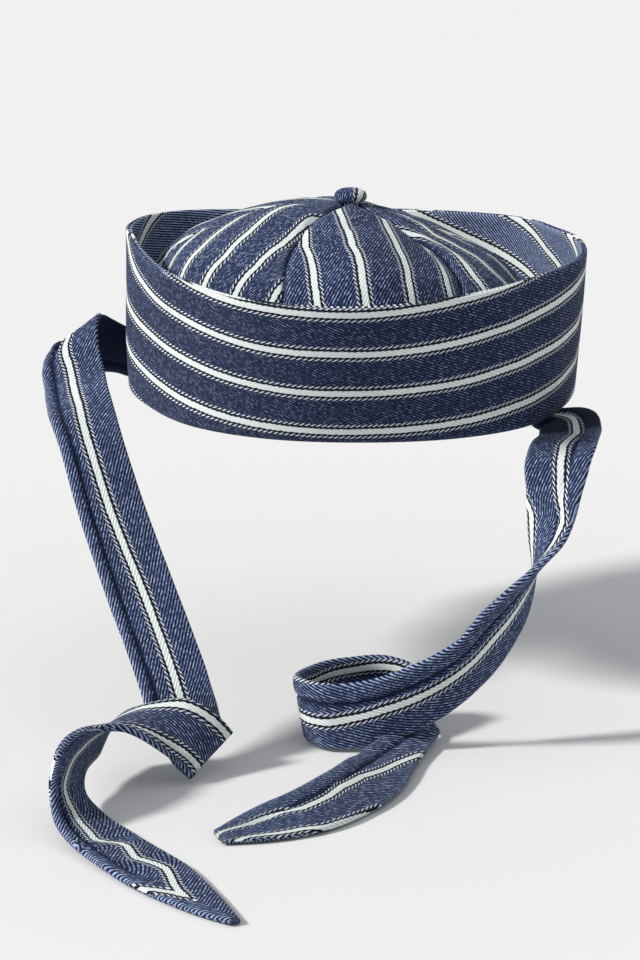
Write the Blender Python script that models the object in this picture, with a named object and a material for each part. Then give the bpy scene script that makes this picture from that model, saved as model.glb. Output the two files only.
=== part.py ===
"""A striped denim sailor cap: a six-gore crown with a button, a turned-up cuff and two ties.

Sizes in the constants and tables are millimetres; the meshes are metres. The origin is the centre of
the head opening, level with the cap's lower edge. +Z is up and -Y is the front. An azimuth is
measured round +Z from the front, positive towards +X.
"""

from math import ceil, cos, exp, hypot, pi, radians, sin, tau

import bmesh
import bpy
from mathutils import Vector

MM = 0.001

# Cloth, in millimetres.
CLOTH = 1.5              # a seamed layer of denim
GAP = 0.3                # between pieces that touch
STACK = 2 * CLOTH + GAP  # the cuff's two layers

# Round the cap: each gore spans the same number of steps, and the cuff keeps the same grid.
GORES = 6
STEPS_PER_GORE = 8
FIRST_SEAM = -26.0       # azimuth of the seam left of the front
GORE_ANGLE = 360.0 / GORES

# Cuff, in millimetres.
CUFF_SLANT = 67.0        # from the base edge to the rim, along the cloth, in the sections below
RIM_RADIUS = STACK / 2   # roll of the outer layer over the rim
RIM_LAP = 2.4            # how far the roll comes down inside
CUFF_STATIONS = (12.0, 22.0, 33.0, 44.0, 55.0)
CUFF_COLUMNS = ("base_radius", "rim_radius", "rim_height", "belly")
CUFF_ROWS = (            # one row each 22.5 degrees, from the front towards +X
    (98.5, 122.8, 61.3, 0.5),
    (99.5, 116.0, 63.6, 0.5),
    (99.0, 107.3, 65.8, 1.0),
    (94.5, 102.0, 66.6, 1.0),
    (94.0, 95.5, 67.0, 0.5),
    (96.0, 95.0, 65.0, 0.5),
    (97.0, 103.5, 63.0, 0.5),
    (97.0, 98.0, 62.8, 0.5),
    (97.0, 100.5, 62.0, 0.5),
    (97.0, 102.5, 62.5, 0.5),
    (97.0, 118.0, 63.3, 0.0),
    (97.5, 108.0, 66.0, 1.0),
    (98.5, 97.5, 66.8, 2.0),
    (95.5, 97.5, 66.4, 2.5),
    (98.5, 108.5, 65.6, 1.0),
    (99.5, 120.0, 62.3, 0.5),
)

# Crown, in millimetres: a row for each seam and each gore's middle, every 30 degrees from FIRST_SEAM.
CROWN_BASE_HEIGHT = 1.2
CROWN_SIDE_HEIGHT = 32.0
CROWN_UPPER_RADIUS = 42.0
CROWN_TOP_RADIUS = 20.0
CROWN_RING_RADIUS = 4.0
CROWN_APEX = (-3.0, 0.0, 82.5)
CROWN_PUFF = 1.8         # how far a gore's middle stands proud of its seams
CROWN_LEVELS = 13
CROWN_COLUMNS = ("side_radius", "shoulder_radius", "shoulder_height", "upper_height", "top_height")
CROWN_ROWS = (
    (88.0, 79.0, 57.0, 75.0, 80.5),
    (90.0, 83.0, 55.0, 76.0, 81.0),
    (86.0, 75.0, 53.0, 71.0, 79.0),
    (82.0, 71.0, 51.0, 69.0, 78.0),
    (80.0, 67.5, 52.5, 68.0, 77.5),
    (82.0, 71.0, 50.5, 67.5, 77.0),
    (84.0, 76.0, 57.0, 72.0, 78.0),
    (88.0, 79.0, 60.0, 75.5, 80.0),
    (86.0, 78.0, 60.0, 76.5, 81.3),
    (88.0, 81.5, 57.0, 77.0, 81.8),
    (88.0, 79.0, 60.3, 79.0, 82.3),
    (88.5, 81.0, 59.0, 78.0, 82.0),
)
DENT_COLUMNS = ("azimuth", "level", "half_azimuth", "half_level", "depth")
DENT_ROWS = (
    (2.0, 0.80, 16.0, 0.10, 2.5),
    (47.0, 0.62, 7.0, 0.20, 3.5),
    (78.0, 0.55, 12.0, 0.14, 3.0),
    (-12.0, 0.50, 8.0, 0.15, 1.5),
)

# Button, in millimetres.
BUTTON_SIDES = 24
BUTTON_LIFT = 0.4
BUTTON_COLUMNS = ("radius", "height")
BUTTON_ROWS = ((5.4, 0.0), (6.5, 0.8), (6.95, 2.2), (6.4, 3.8), (4.6, 5.0), (2.2, 5.5))

# Ties, in millimetres. A row is a place on the tie's centre line, the direction from its A edge to its
# B edge there, and the width.
TIE_THICKNESS = 3.0
TIE_WIDTH = 28.0
TIE_EDGE = 1.2           # rounding of a tie's long edges
TIE_STEP = 7.0           # longest step along a tie
TIE_SLANT_LIMIT = 1.6    # how much a slanted section may exceed the width
TIE_COLUMNS = ("x", "y", "z", "across_x", "across_y", "across_z", "width")
TIE_LEFT_ROWS = (
    (-82.0, 44.0, -1.9, 0.47, 0.88, 0.0, 28),
    (-93.4, 39.4, -1.2, 0.42, 0.82, -0.30, 28),
    (-103.0, 29.0, 12.5, 0.15, 0.48, -0.84, 28),
    (-113.5, 21.0, 17.5, -0.30, 0.00, -0.95, 28),
    (-124.0, 13.1, 15.8, -0.67, -0.385, -0.64, 28),
    (-126.5, 11.5, 19.4, -0.67, -0.385, -0.64, 28),
    (-124.0, 7.2, 19.2, -0.67, -0.385, -0.64, 28),
    (-123.8, -2.0, 11.5, -0.76, -0.25, -0.60, 28),
    (-122.0, -14.0, 7.5, -0.88, -0.20, -0.43, 28),
    (-119.6, -32.0, 5.5, -0.92, -0.17, -0.35, 28),
    (-115.8, -54.0, 0.5, -0.985, -0.10, -0.10, 28),
    (-111.0, -67.0, -7.0, -0.99, -0.10, -0.07, 28),
    (-102.6, -83.0, -28.0, -1.0, -0.09, -0.05, 28),
    (-89.2, -109.0, -57.0, -1.0, -0.08, -0.05, 28),
    (-76.0, -134.0, -84.0, -1.0, -0.06, -0.02, 28),
    (-70.2, -144.5, -98.0, -0.85, -0.38, -0.30, 28),
    (-63.3, -152.5, -109.5, -0.594, -0.664, -0.455, 28),
    (-59.5, -156.9, -111.2, -0.594, -0.664, -0.455, 28),
    (-62.2, -158.5, -107.0, -0.594, -0.664, -0.455, 28),
    (-70.0, -159.0, -100.7, -0.30, -0.72, -0.61, 28),
    (-82.0, -160.0, -96.6, -0.15, -0.95, -0.25, 28),
    (-94.0, -162.0, -95.5, -0.10, -0.98, 0.12, 28),
    (-100.5, -167.5, -97.5, -0.15, -0.93, 0.33, 28),
    (-107.0, -180.0, -99.5, -0.22, -0.86, 0.46, 28),
    (-111.8, -193.0, -102.0, -0.22, -0.88, 0.42, 28),
    (-112.6, -206.0, -108.0, -0.32, -0.85, 0.41, 28),
    (-107.0, -219.0, -115.0, -0.62, -0.72, 0.25, 28),
    (-99.0, -233.0, -117.3, -0.80, -0.58, 0.10, 28),
    (-88.0, -250.0, -118.2, -0.84, -0.54, 0.03, 28),
    (-76.0, -268.0, -118.4, -0.84, -0.54, 0.0, 27),
    (-64.0, -287.0, -118.4, -0.84, -0.54, 0.0, 21),
    (-54.0, -302.0, -118.4, -0.83, -0.56, 0.0, 13),
    (-46.0, -313.0, -118.4, -0.80, -0.60, 0.0, 5),
)
TIE_RIGHT_ROWS = (
    (76.5, -45.0, -1.9, -0.49, -0.87, 0.0, 28),
    (83.3, -45.5, -1.9, -0.71, -0.70, 0.0, 34),
    (86.2, -53.2, -1.9, -0.89, -0.45, 0.0, 32),
    (86.4, -65.5, -1.9, -0.97, -0.24, 0.0, 29.5),
    (83.3, -95.0, -1.9, -1.0, -0.05, 0.0, 28),
    (79.6, -106.0, -6.0, -1.0, 0.15, 0.0, 28),
    (78.1, -111.0, -15.4, -0.84, 0.54, 0.0, 28),
    (76.2, -116.0, -23.3, -0.66, 0.75, 0.0, 28),
    (73.6, -121.0, -33.3, -0.42, 0.89, -0.12, 28),
    (69.8, -125.0, -45.8, 0.06, 0.92, -0.33, 28),
    (62.4, -127.0, -58.7, 0.34, 0.75, -0.57, 28),
    (55.0, -128.0, -68.7, 0.40, 0.55, -0.73, 28),
    (43.8, -129.0, -82.3, 0.30, 0.46, -0.83, 28),
    (23.7, -130.0, -96.0, 0.29, 0.18, -0.94, 28),
    (-3.0, -129.0, -104.8, 0.10, 0.0, -1.0, 28),
    (-16.0, -127.0, -105.2, 0.12, 0.0, -1.0, 28),
    (-23.5, -117.0, -105.0, 0.17, 0.05, -0.98, 28),
    (-16.5, -101.0, -105.0, 0.06, 0.05, -1.0, 28),
    (-4.0, -92.5, -105.0, 0.0, 0.05, -1.0, 28),
    (11.0, -90.5, -105.0, 0.0, 0.05, -1.0, 28),
    (22.0, -95.0, -106.0, 0.10, 0.10, -0.98, 26),
    (26.0, -107.0, -109.5, 0.55, 0.0, -0.83, 22),
    (22.0, -122.0, -114.0, 0.85, -0.30, -0.43, 18),
    (11.3, -147.0, -117.0, 0.90, -0.40, -0.10, 24),
    (4.0, -171.0, -115.5, 0.80, -0.56, -0.20, 28),
    (-6.5, -193.0, -114.8, 0.78, -0.58, -0.26, 28),
    (-23.0, -213.0, -115.5, 0.66, -0.71, -0.25, 26),
    (-42.0, -224.5, -117.0, 0.50, -0.84, -0.20, 19),
    (-54.0, -231.0, -118.0, 0.45, -0.88, -0.12, 9),
)

# Materials: linear colour, roughness.
DENIM_NAVY = (0.035, 0.045, 0.115, 1.0)
DENIM_ROUGHNESS = 0.9


def hermite(p0, p1, m0, m1, t):
    """Cubic curve from p0 to p1 with end slopes m0 and m1, at t from 0 to 1."""
    t2 = t * t
    t3 = t2 * t
    return (2 * t3 - 3 * t2 + 1) * p0 + (t3 - 2 * t2 + t) * m0 + (3 * t2 - 2 * t3) * p1 + (t3 - t2) * m1


def round_value(rows, column, first, azimuth):
    """A table's column at an azimuth, its evenly spaced rows joined smoothly into a ring."""
    step = 360.0 / len(rows)
    place = (azimuth - first) / step
    index = int(place // 1)
    t = place - index
    a, b, c, d = (rows[(index + k) % len(rows)][column] for k in (-1, 0, 1, 2))
    return hermite(b, c, (c - a) / 2, (d - b) / 2, t)


def slopes(knots, values):
    """Slope at each knot of an open table, from the knots on both sides."""
    count = len(knots)
    result = []
    for i in range(count):
        low = max(i - 1, 0)
        high = min(i + 1, count - 1)
        if low == i or high == i:
            result.append((values[high] - values[low]) / (knots[high] - knots[low]))
            continue
        before = knots[i] - knots[low]
        after = knots[high] - knots[i]
        slope_in = (values[i] - values[low]) / before
        slope_out = (values[high] - values[i]) / after
        result.append((slope_in * after + slope_out * before) / (before + after))
    return result


def open_value(knots, values, tangents, place):
    """The smooth curve through an open table's values, at a place between its knots."""
    index = 0
    while index < len(knots) - 2 and place > knots[index + 1]:
        index += 1
    span = knots[index + 1] - knots[index]
    t = (place - knots[index]) / span
    start, end = tangents[index] * span, tangents[index + 1] * span
    return hermite(values[index], values[index + 1], start, end, t)


def polar(azimuth, radius, height, centre=(0.0, 0.0)):
    """A point at an azimuth in degrees, in millimetres."""
    angle = radians(azimuth)
    return Vector((centre[0] + radius * sin(angle), centre[1] - radius * cos(angle), height))


def mesh_object(name, vertices, faces, material):
    """A closed mesh as an object, its points given in millimetres."""
    mesh = bpy.data.meshes.new(name)
    mesh.from_pydata([vertex * MM for vertex in vertices], [], faces)
    shaped = bmesh.new()
    shaped.from_mesh(mesh)
    bmesh.ops.recalc_face_normals(shaped, faces=shaped.faces)
    bmesh.ops.triangulate(shaped, faces=shaped.faces)
    shaped.to_mesh(mesh)
    shaped.free()
    mesh.shade_smooth()
    mesh.set_sharp_from_angle(angle=radians(50))
    mesh.materials.append(material)
    result = bpy.data.objects.new(name, mesh)
    bpy.context.collection.objects.link(result)
    return result


def denim(name):
    """The cap's cloth, in its ground colour."""
    material = bpy.data.materials.new(name)
    material.use_nodes = True
    shader = material.node_tree.nodes["Principled BSDF"]
    shader.inputs["Base Color"].default_value = DENIM_NAVY
    shader.inputs["Roughness"].default_value = DENIM_ROUGHNESS
    shader.inputs["Metallic"].default_value = 0.0
    return material


def ring_faces(rows, columns, closed_rows):
    """Quads over a grid of points whose columns run round in a ring, and its rows too if closed."""
    faces = []
    for row in range(rows if closed_rows else rows - 1):
        above = (row + 1) % rows
        for column in range(columns):
            beside = (column + 1) % columns
            faces.append((row * columns + column, row * columns + beside,
                          above * columns + beside, above * columns + column))
    return faces


# Cuff

def cuff_value(name, azimuth):
    return round_value(CUFF_ROWS, CUFF_COLUMNS.index(name), 0.0, azimuth)


def cuff_point(azimuth, along, out):
    """A point of the cuff, along its slant from the base edge and out from its outer face."""
    base = cuff_value("base_radius", azimuth)
    flare = cuff_value("rim_radius", azimuth) - base
    rise = cuff_value("rim_height", azimuth)
    slant = hypot(flare, rise)
    share = along / CUFF_SLANT
    offset = out + cuff_value("belly", azimuth) * sin(pi * min(max(share, 0.0), 1.0))
    radius = base + share * flare + offset * rise / slant
    return polar(azimuth, radius, share * rise - offset * flare / slant)


def arc(centre, radius, start, end, steps):
    """Points of an arc in the plane of a cuff section, its angles in degrees from up the slant."""
    points = []
    for step in range(steps + 1):
        angle = radians(start + (end - start) * step / steps)
        points.append((centre[0] + radius * cos(angle), centre[1] + radius * sin(angle)))
    return points


def cuff_outer_section():
    """Round the outer layer: under the base, up the face, over the rim and back down inside."""
    under = arc((STACK, -STACK), STACK, 180, 90, 3)
    over = arc((CUFF_SLANT - RIM_RADIUS, -RIM_RADIUS), RIM_RADIUS, 90, -90, 4)
    lap = [(CUFF_SLANT - RIM_LAP, -STACK), (CUFF_SLANT - RIM_LAP, -CLOTH)]
    inner = arc((STACK, -STACK), STACK - CLOTH, 90, 180, 2)
    face = [(station, 0.0) for station in CUFF_STATIONS]
    back = [(station, -CLOTH) for station in reversed(CUFF_STATIONS)]
    return under + face + over + lap + back + inner


def cuff_facing_section():
    """Round the inner layer, which stands inside the outer one between its two rolls."""
    top = CUFF_SLANT - RIM_LAP - GAP
    near = -CLOTH - GAP
    face = [(station, near) for station in CUFF_STATIONS]
    back = [(station, -STACK) for station in reversed(CUFF_STATIONS)]
    return [(CLOTH + 0.5, -STACK), (CLOTH + 1.2, near)] + face + [(top, near), (top, -STACK)] + back


def cuff_layer(name, section):
    """One layer of the cuff, its section carried round the cap."""
    columns = GORES * STEPS_PER_GORE
    azimuths = [FIRST_SEAM + 360.0 * column / columns for column in range(columns)]
    vertices = [cuff_point(azimuth, along, out) for along, out in section for azimuth in azimuths]
    return mesh_object(name, vertices, ring_faces(len(section), columns, True), denim(name))


# Crown

def crown_value(name, azimuth):
    return round_value(CROWN_ROWS, CROWN_COLUMNS.index(name), FIRST_SEAM, azimuth)


def seam_distance(azimuth):
    """How far an azimuth lies from its gore's middle: 0 there and 1 at a seam."""
    turn = ((azimuth - FIRST_SEAM) / GORE_ANGLE) % 1.0
    return abs(2 * turn - 1)


def dent_depth(azimuth, level):
    """How far the cloth is pushed in by the crown's dents and creases."""
    depth = 0.0
    for row in DENT_ROWS:
        dent = dict(zip(DENT_COLUMNS, row))
        turn = (azimuth - dent["azimuth"] + 180) % 360 - 180
        across = turn / dent["half_azimuth"]
        up = (level - dent["level"]) / dent["half_level"]
        depth += dent["depth"] * exp(-across * across - up * up)
    return depth


def crown_point(azimuth, level):
    """A point of the crown's outer face, at a level from 0 at the base to 1 at the ring."""
    base = cuff_value("base_radius", azimuth) - STACK - GAP
    radii = (base, crown_value("side_radius", azimuth), crown_value("shoulder_radius", azimuth),
             CROWN_UPPER_RADIUS, CROWN_TOP_RADIUS, CROWN_RING_RADIUS)
    heights = (CROWN_BASE_HEIGHT, CROWN_SIDE_HEIGHT, crown_value("shoulder_height", azimuth),
               crown_value("upper_height", azimuth), crown_value("top_height", azimuth), CROWN_APEX[2])
    knots = [0.0]
    for i in range(1, len(radii)):
        knots.append(knots[-1] + hypot(radii[i] - radii[i - 1], heights[i] - heights[i - 1]))
    place = level * knots[-1]
    radius = open_value(knots, radii, slopes(knots, radii), place)
    height = open_value(knots, heights, slopes(knots, heights), place)
    swell = sin(pi * level)
    puff = CROWN_PUFF * swell * (1 - seam_distance(azimuth) ** 2)
    push = puff - dent_depth(azimuth, level)
    rise = height / CROWN_APEX[2]
    centre = (CROWN_APEX[0] * rise * rise, CROWN_APEX[1] * rise * rise)
    top = rise * rise
    return polar(azimuth, radius + push * (1 - top), height + push * top, centre)


def crown_inner_point(azimuth, level):
    """The inner face under a point of the crown's outer face."""
    small = 0.004
    turn = 0.5
    high = min(level + small, 1.0)
    low = max(level - small, 0.0)
    up = crown_point(azimuth, high) - crown_point(azimuth, low)
    round_cap = crown_point(azimuth + turn, level) - crown_point(azimuth - turn, level)
    outward = round_cap.cross(up).normalized()
    return crown_point(azimuth, level) - CLOTH * outward


def crown_levels():
    """Levels from the base to the ring, closer together over the shoulder."""
    last = CROWN_LEVELS - 1
    return [step / last - 0.04 * sin(tau * step / last) for step in range(CROWN_LEVELS)]


def crown_gore(name, first):
    """One gore: a shell between two seams, clear of its neighbours by the gap."""
    outer = []
    inner = []
    for level in crown_levels():
        middle = crown_point(first + GORE_ANGLE / 2, level)
        radius = hypot(middle.x - CROWN_APEX[0], middle.y)
        margin = (GAP / 2 + 0.05) / radius * 180 / pi
        for step in range(STEPS_PER_GORE + 1):
            azimuth = first + GORE_ANGLE * step / STEPS_PER_GORE
            azimuth = min(max(azimuth, first + margin), first + GORE_ANGLE - margin)
            outer.append(crown_point(azimuth, level))
            inner.append(crown_inner_point(azimuth, level))
    columns = STEPS_PER_GORE + 1
    count = CROWN_LEVELS * columns
    faces = []
    for row in range(CROWN_LEVELS - 1):
        for column in range(columns - 1):
            corner = row * columns + column
            quad = (corner, corner + 1, corner + columns + 1, corner + columns)
            faces.append(quad)
            faces.append(tuple(count + index for index in reversed(quad)))
    edge = [column for column in range(columns)]
    edge += [row * columns + columns - 1 for row in range(1, CROWN_LEVELS)]
    edge += [count - 1 - column for column in range(1, columns)]
    edge += [row * columns for row in range(CROWN_LEVELS - 2, 0, -1)]
    for index, vertex in enumerate(edge):
        following = edge[(index + 1) % len(edge)]
        faces.append((vertex, count + vertex, count + following, following))
    return mesh_object(name, outer + inner, faces, denim(name))


def crown_button():
    """The covered button over the ring where the gores meet."""
    centre = (CROWN_APEX[0], CROWN_APEX[1])
    low = CROWN_APEX[2] + BUTTON_LIFT
    vertices = []
    for row in BUTTON_ROWS:
        size = dict(zip(BUTTON_COLUMNS, row))
        for side in range(BUTTON_SIDES):
            azimuth = 360.0 * side / BUTTON_SIDES
            vertices.append(polar(azimuth, size["radius"], low + size["height"], centre))
    faces = ring_faces(len(BUTTON_ROWS), BUTTON_SIDES, False)
    last = (len(BUTTON_ROWS) - 1) * BUTTON_SIDES
    faces.append(tuple(reversed(range(BUTTON_SIDES))))
    faces.append(tuple(range(last, last + BUTTON_SIDES)))
    return mesh_object("crown_button", vertices, faces, denim("crown_button"))


# Ties

def tie_frames(rows):
    """Places along a tie, each with its centre, its unit direction across and its width."""
    columns = list(zip(*rows))
    knots = [0.0]
    for before, after in zip(rows, rows[1:]):
        knots.append(knots[-1] + (Vector(after[:3]) - Vector(before[:3])).length)
    tangents = [slopes(knots, column) for column in columns]
    places = []
    for start, end in zip(knots, knots[1:]):
        steps = max(2, ceil((end - start) / TIE_STEP))
        places += [start + (end - start) * step / steps for step in range(steps)]
    places.append(knots[-1])
    frames = []
    for place in places:
        values = [open_value(knots, column, slope, place) for column, slope in zip(columns, tangents)]
        frames.append((Vector(values[:3]), Vector(values[3:6]).normalized(), values[6]))
    return frames


def tie_section(half):
    """Round a tie's section: distance across it and distance off its middle."""
    deep = TIE_THICKNESS / 2
    flat = half - TIE_EDGE
    return [(-half, 0.0), (-flat, -deep), (0.0, -deep), (flat, -deep),
            (half, 0.0), (flat, deep), (0.0, deep), (-flat, deep)]


def tie(name, rows):
    """A flat sewn tie: a section carried along the tie's places, closed at both ends."""
    frames = tie_frames(rows)
    vertices = []
    for index, (centre, across, width) in enumerate(frames):
        before = frames[max(index - 1, 0)][0]
        after = frames[min(index + 1, len(frames) - 1)][0]
        along = (after - before).normalized()
        normal = across.cross(along)
        slant = min(1 / max(normal.length, 0.01), TIE_SLANT_LIMIT)
        normal.normalize()
        for side, off in tie_section(width / 2 * slant):
            vertices.append(centre + across * side + normal * off)
    sides = len(tie_section(TIE_WIDTH / 2))
    faces = ring_faces(len(frames), sides, False)
    last = (len(frames) - 1) * sides
    faces.append(tuple(reversed(range(sides))))
    faces.append(tuple(range(last, last + sides)))
    return mesh_object(name, vertices, faces, denim(name))


def main():
    for old in list(bpy.data.objects):
        bpy.data.objects.remove(old)
    for gore in range(GORES):
        crown_gore(f"crown_gore_{gore + 1}", FIRST_SEAM + GORE_ANGLE * gore)
    crown_button()
    cuff_layer("cuff_outer", cuff_outer_section())
    cuff_layer("cuff_facing", cuff_facing_section())
    tie("tie_left", TIE_LEFT_ROWS)
    tie("tie_right", TIE_RIGHT_ROWS)


main()
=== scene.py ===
"""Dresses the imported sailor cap: striped denim crown, button, turned-up cuff and two ties.

Tables and lengths in the shape functions are millimetres. Meshes are metres, in the frame's axes.
An azimuth is measured round +Z from the front (-Y), positive towards +X.
"""

from math import cos, pi, radians, sin, tau

import bpy
import numpy as np
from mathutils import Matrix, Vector


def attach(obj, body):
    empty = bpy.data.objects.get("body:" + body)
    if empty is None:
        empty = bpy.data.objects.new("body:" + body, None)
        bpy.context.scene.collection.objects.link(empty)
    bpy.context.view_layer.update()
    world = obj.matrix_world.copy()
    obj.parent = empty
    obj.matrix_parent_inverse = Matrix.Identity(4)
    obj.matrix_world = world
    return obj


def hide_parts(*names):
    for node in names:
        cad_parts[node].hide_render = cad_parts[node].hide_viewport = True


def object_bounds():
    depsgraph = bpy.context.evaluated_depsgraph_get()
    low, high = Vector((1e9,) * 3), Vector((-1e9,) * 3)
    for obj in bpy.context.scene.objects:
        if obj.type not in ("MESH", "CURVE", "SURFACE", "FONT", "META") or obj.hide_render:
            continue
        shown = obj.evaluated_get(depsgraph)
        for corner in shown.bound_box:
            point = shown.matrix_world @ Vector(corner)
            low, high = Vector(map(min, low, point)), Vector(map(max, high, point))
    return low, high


bl_info = {
    "name": "Striped denim sailor cap",
    "version": (1, 0, 0),
    "blender": (4, 5, 0),
    "location": "3D Viewport > Sidebar > Cap",
    "description": "Builds a sailor cap with its cuff, button and ties around a packed frame",
    "category": "Add Mesh",
}

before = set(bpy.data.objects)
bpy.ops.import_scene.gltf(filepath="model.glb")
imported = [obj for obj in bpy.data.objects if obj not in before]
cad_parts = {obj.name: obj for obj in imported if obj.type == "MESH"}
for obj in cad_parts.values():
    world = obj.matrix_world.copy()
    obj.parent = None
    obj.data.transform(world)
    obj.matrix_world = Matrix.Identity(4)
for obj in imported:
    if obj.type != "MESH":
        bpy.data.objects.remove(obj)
CAD_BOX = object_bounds()

MM = 0.001

# Cloth, in millimetres: a layer, the gap that stands for a seam, and the cuff's two layers.
CLOTH = 1.5
GAP = 0.3
STACK = 2 * CLOTH + GAP
GORES = 6
FIRST_SEAM = -26.0  # azimuth of the seam left of the front
GORE_ANGLE = 360.0 / GORES

# Cuff, in millimetres: a row each 22.5 degrees, from the front towards +X.
CUFF_SLANT = 67.0
CUFF_COLUMNS = ("base_radius", "rim_radius", "rim_height", "belly")
CUFF_ROWS = (
    (98.5, 122.8, 61.3, 0.5),
    (99.5, 116.0, 63.6, 0.5),
    (99.0, 107.3, 65.8, 1.0),
    (94.5, 102.0, 66.6, 1.0),
    (94.0, 95.5, 67.0, 0.5),
    (96.0, 95.0, 65.0, 0.5),
    (97.0, 103.5, 63.0, 0.5),
    (97.0, 98.0, 62.8, 0.5),
    (97.0, 100.5, 62.0, 0.5),
    (97.0, 102.5, 62.5, 0.5),
    (97.0, 118.0, 63.3, 0.0),
    (97.5, 108.0, 66.0, 1.0),
    (98.5, 97.5, 66.8, 2.0),
    (95.5, 97.5, 66.4, 2.5),
    (98.5, 108.5, 65.6, 1.0),
    (99.5, 120.0, 62.3, 0.5),
)
CUFF_PATTERN_RADIUS = 732.0  # the cuff is cut as an arc of this radius at its rim
CUFF_FRONT = -4.0  # azimuth of the pattern's middle
CUFF_FIRST_STRIPE = 3.2  # from the rim down to the first bold stripe, at the front
CUFF_EASE = (1.8, -54.0, 26.0)  # its stripes sag this far about an azimuth, within a spread
CUFF_STEPS = 360  # rows of the mesh round the cuff
# Small waves round the cuff: seed, height, degrees apart, and degrees of lean per millimetre.
CUFF_RIPPLES = ((3, 0.45, 16, 0.0), (5, 0.35, 7, 0.25))
CUFF_SEAM = (0.7, 0.7)  # the seam at the back: its depth, and its half width in degrees
# The facing beside the outer layer: the gap between them, and how far its rim stands lower.
FACING_GAP = 0.1
FACING_DROP = 0.2
# Wear and painted light run from -1, where the ridges are darkened as painted shade, to 1, where
# the ridges are pale: rubbed by wear, and on the facing partly painted light. The outer layer is
# darker, partly as less worn cloth and partly as painted shade, and the facing paler, partly as
# wear and partly as painted light. The rim and the base add wear to their layer's own: how much,
# and over what height.
OUTER_WEAR_AND_SHADE = -0.55
FACING_WEAR_AND_LIGHT = 0.45
RIM_WEAR = (0.5, 1.8)
BASE_WEAR = (0.4, 1.5)

# Crown, in millimetres: a row for each seam and gore's middle, every 30 degrees from FIRST_SEAM.
CROWN_BASE_HEIGHT = 1.2
CROWN_SIDE_HEIGHT = 32.0
CROWN_UPPER_RADIUS = 42.0
CROWN_TOP_RADIUS = 20.0
CROWN_RING_RADIUS = 4.0
CROWN_APEX = (-3.0, 0.0, 82.5)
CROWN_PUFF = 1.8
CROWN_COLUMNS = ("side_radius", "shoulder_radius", "shoulder_height", "upper_height", "top_height")
CROWN_ROWS = (
    (88.0, 79.0, 57.0, 75.0, 80.5),
    (90.0, 83.0, 55.0, 76.0, 81.0),
    (86.0, 75.0, 53.0, 71.0, 79.0),
    (82.0, 71.0, 51.0, 69.0, 78.0),
    (80.0, 67.5, 52.5, 68.0, 77.5),
    (82.0, 71.0, 50.5, 67.5, 77.0),
    (84.0, 76.0, 57.0, 72.0, 78.0),
    (88.0, 79.0, 60.0, 75.5, 80.0),
    (86.0, 78.0, 60.0, 76.5, 81.3),
    (88.0, 81.5, 57.0, 77.0, 81.8),
    (88.0, 79.0, 60.3, 79.0, 82.3),
    (88.5, 81.0, 59.0, 78.0, 82.0),
)
DENT_COLUMNS = ("azimuth", "level", "half_azimuth", "half_level", "depth")
DENT_ROWS = (
    (2.0, 0.80, 16.0, 0.10, 2.5),
    (47.0, 0.62, 7.0, 0.20, 3.5),
    (78.0, 0.55, 12.0, 0.14, 3.0),
    (-12.0, 0.50, 8.0, 0.15, 1.5),
)
GORE_LEVELS = 72  # rows and columns of a gore's mesh
GORE_COLUMNS = 45
GORE_CROWDING = 1.15  # a power that draws the columns towards the seams
GORE_REACH = 0.9985  # share of the way to a seam that the cloth comes
GORE_THINNING = 0.8  # share of the cloth's thickness that the gores have
SEAM_DIP = (1.25, 1.5)  # the dip at a seam: its depth and half width
PUCKERS = (0.3, 8.5, 5.0)  # along a seam: height, distance apart, and reach from the seam
PUCKER_TURN = 1.7  # radians that one seam's puckers start after the last one's
GORE_WAVES = (0.5, 13, 14)  # height, distance apart, and millimetres that they lean by a seam
GORE_SEED = 11
SEAM_RIDGE_WEAR = (0.25, 2.4, 1.3)  # pale cloth beside a seam: how pale, how far off, half width
SEAM_PAINTED_SHADE = (0.9, 0.9)  # painted shade in the seam's dip: how much, and half width
# Stripes, in millimetres: a distance along the cloth, where a bold stripe lies there, and the
# distance from it to the next one.
REPEAT = 19.05
STRIPE_HALF = 4.0  # a bold stripe with the lines on one side of it, from its middle
WIDE = 24.0  # drawn apart so that one stripe is left on a tie
WIDER = 30.0
WIDEST = 36.0
# On each gore the distance is up from the base, and the place is from the gore's middle.
GORE_STRIPES = (
    ((57, -5.8, 20.2), (65, -7.1, 20.2), (80, -9.2, 20.2), (94, -11.0, 20.2),
     (108, -7.6, REPEAT), (123, -6.0, REPEAT)),
    ((57, -20.9, 20.0), (68, -18.2, 20.0), (76, -15.0, 18.0), (85, -12.0, 12.5),
     (97, -11.6, 10.5), (106, -12.0, 15.0), (120, -12.0, REPEAT)),
    ((0, -2.0, REPEAT), (125, 0.0, REPEAT)),
    ((0, -3.0, REPEAT), (125, -1.0, REPEAT)),
    ((0, -2.0, REPEAT), (125, -3.0, REPEAT)),
    ((57, -9.3, 17.0), (73, -8.8, 17.2), (92, -13.8, 18.2), (100, -17.0, 18.2),
     (118, -26.0, REPEAT)),
)
# How far a seam wanders off its own azimuth, in degrees, at levels from the base to the ring.
SEAM_DRIFTS = {
    0: ((0.0, 4.0), (0.41, 4.0), (0.53, 1.3), (0.60, -1.0), (0.70, -3.4), (0.77, -6.0),
        (0.84, -8.5), (1.0, -8.5)),
    1: ((0.0, 1.0), (0.41, 1.5), (0.49, 6.0), (0.60, 15.0), (0.66, 17.5), (0.75, 15.5),
        (0.84, 13.0), (1.0, 0.0)),
}
# Folds of the cloth besides the dents, in the dents' columns.
FOLD_ROWS = (
    (66.0, 0.66, 6.5, 0.16, 3.5),
)
# How far the facing's stripes sit off the outer layer's, at an azimuth.
FACING_SHIFT = 3.2
FACING_SHIFT_ANGLE = 140.0

# Button, in millimetres.
BUTTON_LIFT = 0.4  # off the crown's top
BUTTON_STRIPE = 4.6  # from its middle to the next bold stripe
BUTTON_TOP = (0.05, 5.65)  # radius and height where its mesh closes
BUTTON_GATHERS = (9, 0.12, 5.0)  # how many, how deep, and how far up they reach
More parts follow.
